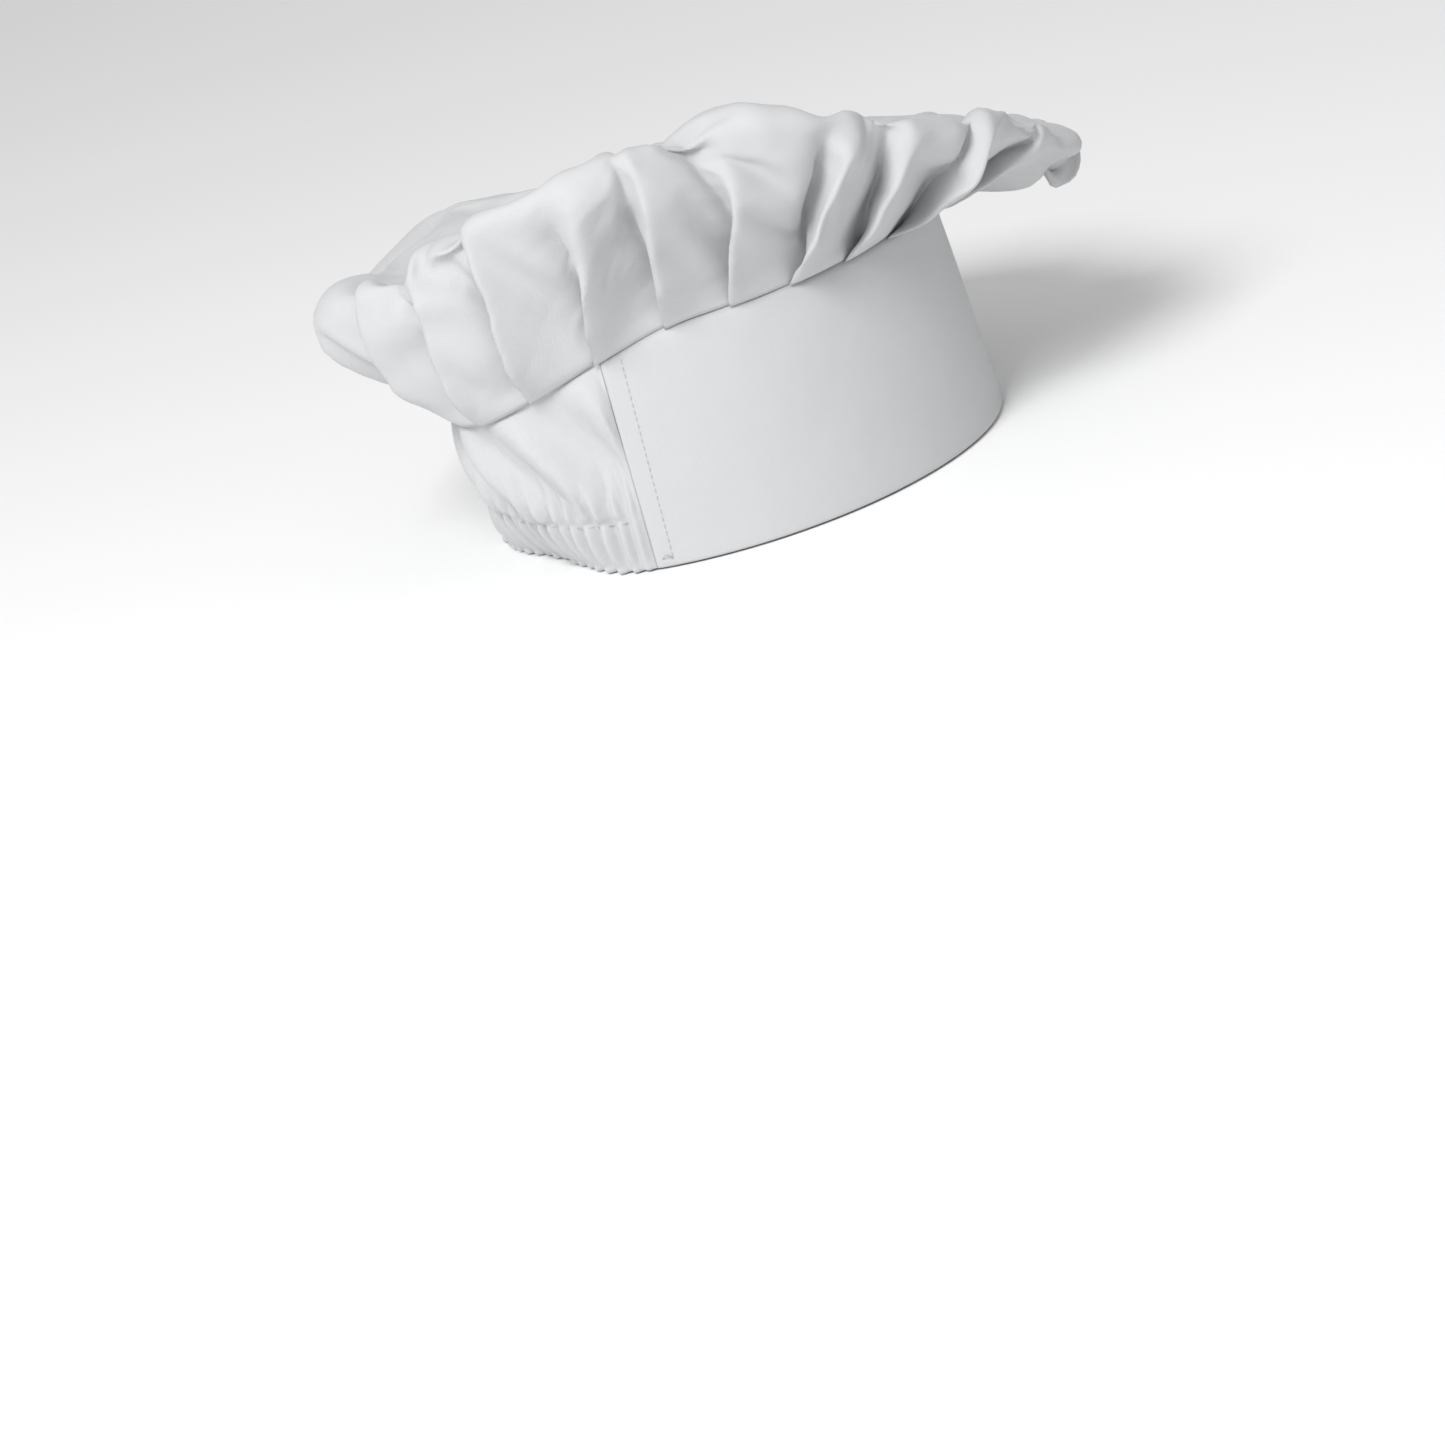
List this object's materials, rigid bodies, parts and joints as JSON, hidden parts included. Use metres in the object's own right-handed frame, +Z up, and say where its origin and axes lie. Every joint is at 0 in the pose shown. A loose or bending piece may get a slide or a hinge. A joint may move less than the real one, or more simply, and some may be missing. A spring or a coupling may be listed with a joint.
{
  "type": "chef toque",
  "caption": "Low floppy chef's hat: a stiff folded head band, a back gathered on elastic, and a wide pleated crown.",
  "frame": {"origin": "centre of the head opening in the plane of the band's bottom edge", "axes": "+Z up through the crown, -Y towards the wearer's front, +Y towards the gathered back, -X towards the wearer's right"},
  "size_m": [0.2279, 0.281, 0.1429],
  "materials": {
    "poplin": "matt white cotton poplin, plain weave",
    "interfacing": "matt white stiff non-woven interfacing",
    "elastic": "matt white woven elastic tape",
    "thread": "white spun sewing thread"
  },
  "bodies": {
    "band": {"head_band": "poplin", "band_interfacing": "interfacing", "band_seam_thread": "thread", "right_join_thread": "thread", "left_join_thread": "thread"},
    "back": {"back_panel": "poplin", "elastic_tape": "elastic", "casing_thread": "thread", "panel_seam_thread": "thread"},
    "crown": {"crown": "poplin"}
  },
  "joints": [
    {"name": "back_stretch", "type": "hinge", "parent": "band", "child": "back", "pos_m": [0, 0.084, 0.072], "axis": [1, 0, 0], "range_deg": [0, 16], "stiffness_Nm_per_rad": 0.5, "deforming": ["back_panel", "panel_seam_thread"]},
    {"name": "crown_press", "type": "slide", "parent": "band", "child": "crown", "axis": [0, 0, -1], "range_m": [0, 0.02], "deforming": ["crown"]}
  ]
}
